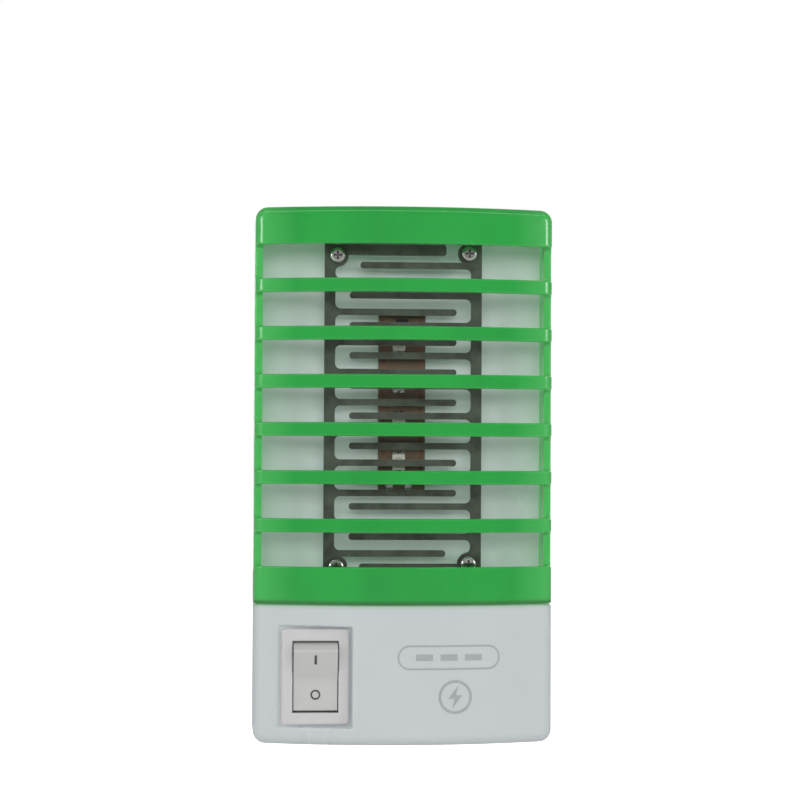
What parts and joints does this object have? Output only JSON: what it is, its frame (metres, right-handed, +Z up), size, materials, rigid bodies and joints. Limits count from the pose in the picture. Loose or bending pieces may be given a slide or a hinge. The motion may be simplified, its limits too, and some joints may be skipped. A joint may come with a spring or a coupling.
{
  "type": "electric bug zapper",
  "caption": "Plug-in electric bug zapper: white case with rear plug pins and rocker switch, lift-off green louvred cover over a comb-shaped high-voltage grid and a strip of ultraviolet lamps.",
  "frame": {"origin": "centre of the plug boss's wall-contact face, midway between the two plug pins", "axes": "+Y out of the back along the plug pins, into the wall; +Z up; +X to the right seen from the front, which faces -Y"},
  "size_m": [0.0666, 0.0515, 0.1181],
  "materials": {
    "case_white": "glossy moulded, slightly warm white",
    "cover_green": "glossy, faintly translucent green",
    "pin_nickel": "nickel-plated brass",
    "sleeve_black": "insulating sleeve",
    "screw_zinc": "zinc-plated steel",
    "screw_nickel": "bright nickel plate",
    "board_brown": "paper-phenolic board",
    "strip_brown": "dark brown board with copper-coloured tracks",
    "solder": "solder",
    "capacitor_yellow": "yellow box capacitor",
    "capacitor_red": "dipped film capacitor",
    "component_black": "black epoxy or sleeve",
    "resistor_tan": "resistor body with colour bands",
    "lamp_white": "white lamp cup with pale resin",
    "grid_steel": "dark stamped steel",
    "terminal_brass": "bare brass",
    "switch_grey": "light grey switch plastic",
    "rocker_grey": "light grey rocker plastic",
    "wire_brown": "insulation",
    "wire_blue": "insulation",
    "wire_red": "insulation",
    "wire_black": "insulation"
  },
  "bodies": {
    "case": {"rear_shell": "case_white", "front_housing": "case_white", "plug_pin_left": "pin_nickel", "plug_pin_right": "pin_nickel", "pin_sleeves": "sleeve_black", "case_screws": "screw_zinc", "main_board": "board_brown", "board_screws": "screw_zinc", "solder_joints": "solder", "dropper_capacitor": "capacitor_yellow", "multiplier_capacitors": "capacitor_red", "rectifier_diodes": "component_black", "resistors": "resistor_tan", "electrolytic_capacitor": "component_black", "led_board": "strip_brown", "uv_leds": "lamp_white", "led_resistors": "component_black", "led_solder_joints": "solder", "left_electrode": "grid_steel", "right_electrode": "grid_steel", "grid_screws": "screw_nickel", "grid_washers": "screw_zinc", "grid_solder_lugs": "terminal_brass", "grid_nuts": "terminal_brass", "switch_housing": "switch_grey", "switch_common_terminal": "terminal_brass", "switch_output_terminal": "terminal_brass", "live_wire": "wire_brown", "switched_wire": "wire_red", "neutral_wire": "wire_blue", "grid_wire_left": "wire_red", "grid_wire_right": "wire_black", "led_wire_positive": "wire_red", "led_wire_negative": "wire_black"},
    "cover": {"grille_cover": "cover_green"},
    "rocker": {"switch_rocker": "rocker_grey", "switch_spring": "screw_zinc", "switch_plunger": "terminal_brass"},
    "contact_arm": {"switch_contact_arm": "terminal_brass"}
  },
  "joints": [
    {"name": "cover_slide", "type": "slide", "parent": "case", "child": "cover", "axis": [0, 0, 1], "range_m": [0, 0.09]},
    {"name": "rocker_tilt", "type": "hinge", "parent": "case", "child": "rocker", "pos_m": [-0.0193, -0.0278, -0.0313], "axis": [-1, 0, 0], "range_deg": [0, 24]},
    {"name": "contact_rock", "type": "hinge", "parent": "case", "child": "contact_arm", "pos_m": [-0.0193, -0.02085, -0.0313], "axis": [1, 0, 0], "range_deg": [0, 16]}
  ],
  "couplings": [
    {"joint": "contact_rock", "follows": "rocker_tilt", "ratio": 0.66667}
  ]
}
